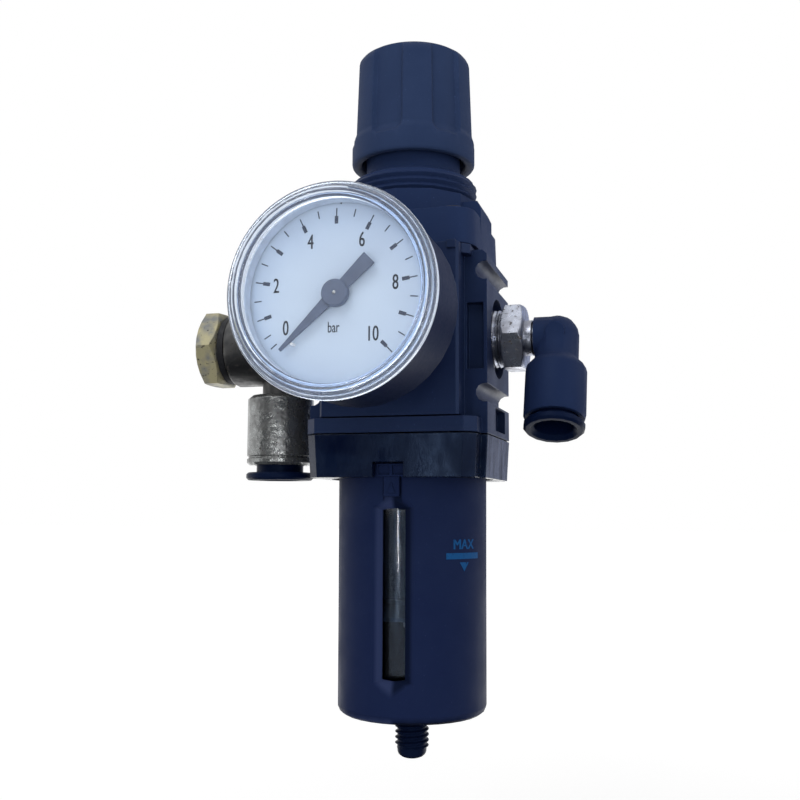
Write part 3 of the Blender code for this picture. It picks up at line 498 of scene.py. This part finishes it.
def knob():
    """The knob, with soft flutes that run out into its flared lower band."""
    low, high = low_high("knob")
    bottom, top, wide = low.z, high.z, high.x
    band, first, shoulder = bottom + BAND_HEIGHT, bottom + FLUTE_END, top - SHOULDER_DROP
    side = wide - 0.4

    def fluted(radius, height, angle):
        if height < first or radius < CROWN_R:
            return radius
        step = 360 / FLUTES
        turn = (math.degrees(angle) + 90 - FIRST_RIB + step / 2) % step - step / 2
        across = abs(abs(turn) - step / 2)
        depth = 1 - smoothstep(across, FLUTE_HALF - FLUTE_EDGE / 2, FLUTE_HALF + FLUTE_EDGE / 2)
        corner = max(0.0, across - FLUTE_HALF + FLUTE_CORNER) / FLUTE_CORNER
        start = first + CORNER_RISE * (1 - math.sqrt(max(0.0, 1 - corner**2)))
        depth *= smoothstep(height, start, start + RUN_OUT)
        floor = side - FLUTE_DEPTH + (SHOULDER_R - side) * max(0.0, height - band) / (shoulder - band)
        return radius - min(FLUTE_DEPTH, max(0.0, radius - floor)) * depth

    outline = [(0, top)] + [(r, top - 0.15 * (r / 7) ** 2) for r in (2.5, 5, 7, 9)]
    outline += [(10.8, top - 0.45), (11.8, top - 0.8), (12.5, top - 1.25), (12.95, top - 1.8)]
    outline += [(13.25, top - 2.4), (13.42, top - 3.1)]
    for k in range(SIDE_ROWS + 1):
        share = k / SIDE_ROWS
        height = shoulder - (shoulder - band - 0.1) * share
        outline.append((SHOULDER_R + (side - SHOULDER_R) * share, height))
    for k in range(FLARE_ROWS + 1):
        share = k / FLARE_ROWS
        outline.append((side + (wide - side) * smoothstep(share, 0.0, 1.0), band - 0.15 - 1.9 * share))
    outline += [(wide, bottom + 4.4), (wide, bottom + 3.0), (wide, bottom + 0.9)]
    outline += [(wide - 0.08, bottom + 0.45), (wide - 0.3, bottom + 0.12), (wide - 0.7, bottom)]
    outline += [(12.9, bottom), (12.4, bottom + 0.2), (12.1, bottom + 0.6), (12.1, 63.4)]
    outline += [(11.3, 64.6), (5.4, 64.6), (5.4, 47.4), (0, 47.4)]
    shape = turned(outline, 288, closed=False, radius_at=fluted)
    piece("knob_shell", shape, "knob", "knob", replaces=("knob",))


# Gauge

SCALE_BAR, SCALE_SWEEP, SCALE_TURN = 10, 270.0, 1.0
SCALE_CENTRE = (-0.55, 0.35)  # the print sits that far off the dial's middle
TICK_OUT, TICK_IN, BLOCK_OUT, MINOR_IN = 15.75, 12.85, 14.25, 14.3
FINE_WIDTH, BLOCK_WIDTH = 0.22, 0.68
ZERO_TICK = -128.9  # degrees clockwise from the top
PRINT_MM = 0.03
NUMBERS = {
    "0": (-9.95, -5.9), "2": (-11.95, 2.1), "4": (-5.3, 9.95),
    "6": (4.6, 9.8), "8": (10.95, 1.55), "10": (6.7, -7.6),
}
NUMBER_HEIGHT, UNIT_HEIGHT, NARROW = 2.85, 2.05, 0.62  # NARROW is the width against the font's own
UNIT_AT, NOTCH_AT = (-0.7, -6.1), (0.55, 17.0)
STOP_PIN = (-8.24, -9.0)
POINTER_ZERO = -133.6  # degrees clockwise from the top
GEAR_MODULE, PINION_TEETH, PINION_BACK, PINION_FRONT = 0.2, 12, 46.3, 47.7  # as in the solids
RIM_BACK, WINDOW_R = 55.9, 16.75


def gauge_place(node):
    """The matrix of a gauge node's middle: local X to the right, Y up and height towards the viewer."""
    low, high = low_high(node)
    return Matrix.Translation((0, 0, (low.z + high.z) / 2)) @ FORWARD


def dial_places():
    """The dial's matrix, and the height of its front."""
    return gauge_place("gauge_dial"), -low_high("gauge_dial")[0].y


def bar_shape(angle, inner, outer, width, base):
    half = width / 2
    outline = [(-half, inner), (half, inner), (half, outer), (-half, outer)]
    return moved(flat_shape(outline, base, base + PRINT_MM), Matrix.Rotation(math.radians(-angle), 4, "Z"))


def dial_print():
    """The dial's scale with a block at each full bar, its numbers, its unit and the notch at its top."""
    place, front = dial_places()
    shapes = []
    for half_bar in range(1, 2 * SCALE_BAR + 1):
        angle = SCALE_SWEEP * (half_bar / (2 * SCALE_BAR) - 0.5) + SCALE_TURN
        if half_bar % 2:
            shapes.append(bar_shape(angle, MINOR_IN, TICK_OUT, FINE_WIDTH, front))
        else:
            shapes.append(bar_shape(angle, BLOCK_OUT - 0.1, TICK_OUT, FINE_WIDTH, front))
            shapes.append(bar_shape(angle, TICK_IN, BLOCK_OUT, BLOCK_WIDTH, front))
    shapes.append(bar_shape(ZERO_TICK, MINOR_IN, TICK_OUT, FINE_WIDTH, front))
    scale = moved(joined(shapes), Matrix.Translation((*SCALE_CENTRE, 0)))
    notch = flat_shape([(-0.4, 0.3), (0.4, 0.3), (0, -0.3)], front, front + PRINT_MM)
    shapes = [scale, moved(notch, Matrix.Translation((*NOTCH_AT, 0)))]
    middle = front + PRINT_MM / 2
    for words, at in NUMBERS.items():
        shape = text_shape(words, NUMBER_HEIGHT, NARROW, PRINT_MM, 0.04)
        shapes.append(moved(shape, Matrix.Translation((*at, middle))))
    unit = text_shape("bar", UNIT_HEIGHT, NARROW, PRINT_MM, 0.02)
    shapes.append(moved(unit, Matrix.Translation((*UNIT_AT, middle))))
    piece("dial_markings", joined(shapes), "ink", "housing", place)


def stop_pin():
    """The white peg on the dial that the pointer rests on at zero."""
    place, front = dial_places()
    outline = [(0, front + 1.6), (0.2, front + 1.55), (0.32, front + 1.3), (0.34, front - 0.02)]
    peg = turned(outline, 20, closed=False)
    piece("stop_pin", moved(peg, Matrix.Translation((*STOP_PIN, 0))), "peg", "housing", place)


def pinion_outline():
    """Outline of the gear on the pointer's arbor, with the solid's teeth."""
    pitch, step = GEAR_MODULE * PINION_TEETH / 2, 2 * math.pi / PINION_TEETH
    root, tip = pitch - 1.25 * GEAR_MODULE, pitch + 0.8 * GEAR_MODULE
    outline = []
    for k in range(PINION_TEETH):
        middle = (k + 0.5) * step
        for radius, share in ((root, -0.27), (tip, -0.09), (tip, 0.09), (root, 0.27)):
            angle = middle + share * step
            outline.append((-radius * math.sin(angle), radius * math.cos(angle)))
    return outline


def pointer():
    """The pointer's blade and tail as one straight bar, its hub, its arbor, its pinion and its centre pin."""
    low, high = low_high("gauge_pointer")
    place, _ = dial_places()
    hub, back = -low.y, -high.y
    blade = [(-0.27, 14.6), (-1.1, 1.6), (-1.05, -1.6), (-1.4, -8.75), (-1.3, -8.9), (1.3, -8.9)]
    blade += [(1.4, -8.75), (1.05, -1.6), (1.1, 1.6), (0.27, 14.6)]
    turn = Matrix.Rotation(math.radians(-POINTER_ZERO), 4, "Z")
    boss = [(0, hub), (2.3, hub), (2.5, hub - 0.2), (2.5, hub - 1.4)]
    boss += [(0.45, hub - 1.4), (0.45, back), (0, back)]
    shapes = [
        moved(flat_shape(blade, hub - 0.9, hub - 0.5), turn),
        turned(boss, 64, closed=False),
        flat_shape(pinion_outline(), PINION_BACK, PINION_FRONT),
    ]
    piece("pointer", joined(shapes), "pointer", "pointer", place, ("gauge_pointer",))
    dome = turned([(0, hub + 0.12), (0.22, hub + 0.09), (0.34, hub), (0.34, hub - 0.2)], 20, closed=False)
    piece("pointer_pin", dome, "pin", "pointer", place)


def bezel_outline(front, wide):
    """Outline of the stepped bezel, with rounded beads that catch the light."""
    outline = [(17.0, RIM_BACK - 0.05), (wide - 0.25, RIM_BACK - 0.05)]
    outline += arc(wide - 0.2, RIM_BACK + 0.2, 0.2, -75, 0, 3)
    outline += arc(wide - 0.45, front - 1.35, 0.45, 0, 80, 5)
    outline += [(wide - 0.62, front - 1.02)]
    outline += arc(wide - 1.25, front - 0.85, 0.55, 5, 90, 6)
    outline += [(wide - 1.45, front - 0.42)]
    outline += arc(wide - 1.85, front - 0.35, 0.35, 10, 170, 7)
    outline += [(wide - 2.3, front - 0.5)]
    outline += arc(wide - 2.62, front - 0.62, 0.26, 30, 150, 5)
    return outline + [(16.85, front - 0.75), (16.8, front - 1.1), (16.85, 57.0)]


def crystal():
    """The clear bezel, the window inside it, and the pale skirt behind them in the case."""
    low, high = low_high("gauge_crystal")
    back, front, wide = -high.y, -low.y, high.x
    place = gauge_place("gauge_crystal")
    piece("gauge_bezel", turned(bezel_outline(front, wide), 160), "bezel", "housing", place)
    skirt = [(16.95, back), (17.6, back), (17.6, RIM_BACK - 0.1), (16.95, RIM_BACK - 0.1)]
    piece("gauge_skirt", turned(skirt, 96), "skirt", "housing", place)
    window = [(0, front - 0.95), (WINDOW_R - 0.15, front - 0.95), (WINDOW_R, front - 1.1)]
    window += [(WINDOW_R, front - 1.5), (0, front - 1.5)]
    window = turned(window, 96, closed=False)
    piece("gauge_window", window, "window", "housing", place, ("gauge_crystal",))


# Guard and drain

MARK_ANGLES = (40.4, 73.1)  # the level bar's ends, in degrees from the front towards +X
MARK_LOW, MARK_HIGH = -48.8, -47.5
MARK_STRIPS, MARK_BACK, MARK_FRONT = 12, -0.02, 0.05


def wrapped(shape, radius, turn, height):
    """Bends a flat shape round the guard: local X runs along the surface and Y upwards."""
    bent = []
    for x, y, z in shape[0]:
        angle = math.radians(turn - 90) + x / radius
        bent.append(((radius + z) * math.cos(angle), (radius + z) * math.sin(angle), height + y))
    return bent, shape[1]


def level_mark():
    """The printed level mark on the guard: a bar, one word over it and an arrow under it."""
    radius = low_high("bowl_guard")[1].x - 0.09
    middle = sum(MARK_ANGLES) / 2
    half = math.radians(MARK_ANGLES[1] - MARK_ANGLES[0]) / 2 * radius
    tall = MARK_HIGH - MARK_LOW
    shapes = []
    for k in range(MARK_STRIPS):
        left = -half + 2 * half * k / MARK_STRIPS
        right = -half + 2 * half * (k + 1) / MARK_STRIPS
        strip = [(left, 0), (right, 0), (right, tall), (left, tall)]
        shapes.append(wrapped(flat_shape(strip, MARK_BACK, MARK_FRONT), radius, middle, MARK_LOW))
    word = text_shape("MAX", 2.2, 0.95, 0.08, 0.09)
    shapes.append(wrapped(word, radius, middle, MARK_HIGH + 1.7))
    arrow = flat_shape([(0, -1.9), (1.3, 0), (-1.3, 0)], MARK_BACK, MARK_FRONT)
    shapes.append(wrapped(arrow, radius, middle, MARK_LOW - 0.7))
    piece("level_mark", joined(shapes), "mark", "bowl")


CREST_R, ROOT_R, THREAD_PITCH, THREAD_TOP, THREAD_ROWS = 3.75, 3.25, 1.2, -83.4, 90


def drain():
    """The drain's stub with a real helix for its thread."""
    low, high = low_high("drain_screw")
    end = low.z
    start = end + 1.9

    def threaded(radius, height, angle):
        if not start < height < THREAD_TOP or radius < ROOT_R - 0.01:
            return radius
        phase = ((height - start) / THREAD_PITCH - angle / (2 * math.pi)) % 1.0
        ridge = max(0.0, 1 - abs(phase - 0.5) / 0.34)
        fade = smoothstep(height, start, start + 0.8) * (1 - smoothstep(height, THREAD_TOP - 0.5, THREAD_TOP))
        return radius + (CREST_R - ROOT_R) * min(1.0, 1.35 * ridge) * fade

    outline = [(0, end + 3.8), (1.1, end + 3.8), (1.1, end + 0.05), (1.25, end), (1.7, end)]
    outline += [(2.4, end + 0.28), (2.95, end + 0.75), (3.2, end + 1.3)]
    for k in range(THREAD_ROWS + 1):
        outline.append((ROOT_R, start + (THREAD_TOP - start) * k / THREAD_ROWS))
    outline += [(2.7, -83.2), (2.7, -78.8), (4.0, -78.8), (4.0, high.z), (0, high.z)]
    shape = turned(outline, 48, closed=False, radius_at=threaded)
    piece("drain_stub", shape, "ring", "drain", replaces=("drain_screw",))


# Stage

WORLD_LEVEL = 0.55
FLOOR_Z, FLOOR_HALF = -0.165, 6
FLOOR_GLOW = (0.25, 0.9, 0.30, 0.60)  # near and far distance in metres, and the glow there
DARK, GREY = (0.02, 0.025, 0.035), (0.52, 0.58, 0.80)
LOW = FLOOR_Z + 0.001
CARDS = {
    "card_front": (DARK, [(-1.3, -0.9, -0.13), (0.75, -1.0, -0.13), (0.75, -1.0, 0.9), (-1.3, -0.9, 0.9)]),
    "card_floor": (DARK, [(-0.9, -1.0, LOW), (0.9, -1.0, LOW), (0.9, 0.1, LOW), (-0.9, 0.1, LOW)]),
    "card_back": (GREY, [(0.0, 0.9, -0.13), (1.2, 0.7, -0.13), (1.2, 0.7, 0.7), (0.0, 0.9, 0.7)]),
}


def camera():
    """The photograph's camera: yaw about the vertical, then pitch and roll in the camera's own frame."""
    data = bpy.data.cameras.new("camera")
    data.lens, data.sensor_width = LENS_MM, SENSOR_MM
    data.clip_start, data.clip_end = 0.01, 20
    obj = added("camera", data)
    turn = Matrix.Rotation(math.radians(YAW), 3, "Z")
    aim = Matrix.Rotation(math.radians(90 - PITCH), 3, "X")
    roll = Matrix.Rotation(math.radians(ROLL), 3, "Z")
    obj.matrix_world = Matrix.Translation(Vector(EYE_MM) * MM) @ (turn @ aim @ roll).to_4x4()
    bpy.context.scene.camera = obj


def area(name, at, size, energy, towards=(0, 0, -0.01), height=None):
    """A rectangular lamp, as high as it is wide where no height is given."""
    data = bpy.data.lights.new(name, "AREA")
    data.shape = "RECTANGLE"
    data.size, data.size_y = size, height or size
    data.energy = energy
    obj = added(name, data)
    obj.location = at
    obj.rotation_euler = (Vector(towards) - Vector(at)).to_track_quat("-Z", "Y").to_euler()


def white_where_seen(tree, others, camera_level=1.0):
    """A glow's strength: camera_level for the camera, 1 for mirrors and clear things, others for the rest."""
    path = tree.nodes.new("ShaderNodeLightPath")
    mirrored = tree.nodes.new("ShaderNodeMath")
    mirrored.operation = "MAXIMUM"
    tree.links.new(path.outputs["Is Glossy Ray"], mirrored.inputs[0])
    tree.links.new(path.outputs["Is Transmission Ray"], mirrored.inputs[1])
    level = others
    for seen, strength in ((mirrored.outputs[0], 1.0), (path.outputs["Is Camera Ray"], camera_level)):
        pick = tree.nodes.new("ShaderNodeMix")
        tree.links.new(seen, pick.inputs["Factor"])
        feed(tree, pick.inputs["A"], level)
        feed(tree, pick.inputs["B"], strength)
        level = pick.outputs["Result"]
    return level


def light_world():
    world = bpy.data.worlds.new("studio")
    bpy.context.scene.world = world
    world.use_nodes = True
    background = world.node_tree.nodes["Background"]
    background.inputs["Color"].default_value = (1, 1, 1, 1)
    feed(world.node_tree, background.inputs["Strength"], white_where_seen(world.node_tree, WORLD_LEVEL))


def floor_surface():
    """The floor's matt white, which glows more with distance from the part and so keeps its shadow."""
    surface = bpy.data.materials.new("floor")
    surface.use_nodes = True
    tree = surface.node_tree
    inputs = tree.nodes["Principled BSDF"].inputs
    inputs["Base Color"].default_value = (0.92, 0.92, 0.92, 1)
    inputs["Roughness"].default_value = 1.0
    inputs["Specular IOR Level"].default_value = 0.0
    inputs["Emission Color"].default_value = (1, 1, 1, 1)
    away = tree.nodes.new("ShaderNodeVectorMath")
    away.operation = "LENGTH"
    tree.links.new(tree.nodes.new("ShaderNodeTexCoord").outputs["Object"], away.inputs[0])
    glow = tree.nodes.new("ShaderNodeMapRange")
    tree.links.new(away.outputs["Value"], glow.inputs["Value"])
    for socket, value in zip(("From Min", "From Max", "To Min", "To Max"), FLOOR_GLOW):
        glow.inputs[socket].default_value = value
    feed(tree, inputs["Emission Strength"], white_where_seen(tree, 0.0, glow.outputs[0]))
    return surface


def sheet(name, corners, surface):
    """A stage object with one face."""
    mesh = bpy.data.meshes.new(name)
    mesh.from_pydata(corners, [], [(0, 1, 2, 3)])
    mesh.materials.append(surface)
    return added(name, mesh)


def lay_floor():
    corners = [(x * FLOOR_HALF, y * FLOOR_HALF, FLOOR_Z) for x, y in ((-1, -1), (1, -1), (1, 1), (-1, 1))]
    floor = sheet("floor", corners, floor_surface())


def set_cards():
    """Cards that only reflections see."""
    for name, (colour, corners) in CARDS.items():
        surface = bpy.data.materials.new(name)
        surface.use_nodes = True
        surface.node_tree.nodes["Principled BSDF"].inputs["Base Color"].default_value = (*colour, 1)
        card = sheet(name, corners, surface)
        card.visible_camera = False
        card.visible_diffuse = False
        card.visible_shadow = False
        card.visible_transmission = False


def lights():
    area("key", (-0.25, -0.75, 0.75), 0.7, 4.2)
    area("fill", (0.9, -0.5, 0.35), 0.6, 1.5)
    area("band", (0.12, -0.37, 0.0), 0.04, 0.17, height=0.1)
    area("glint", (-0.061, -0.345, -0.08), 0.008, 0.10, towards=(0, 0, -0.055), height=0.16)


dress_nodes()
knob()
dial_print()
stop_pin()
pointer()
crystal()
level_mark()
drain()
camera()
light_world()
lay_floor()
set_cards()
lights()
bpy.context.scene.view_settings.view_transform = "Standard"
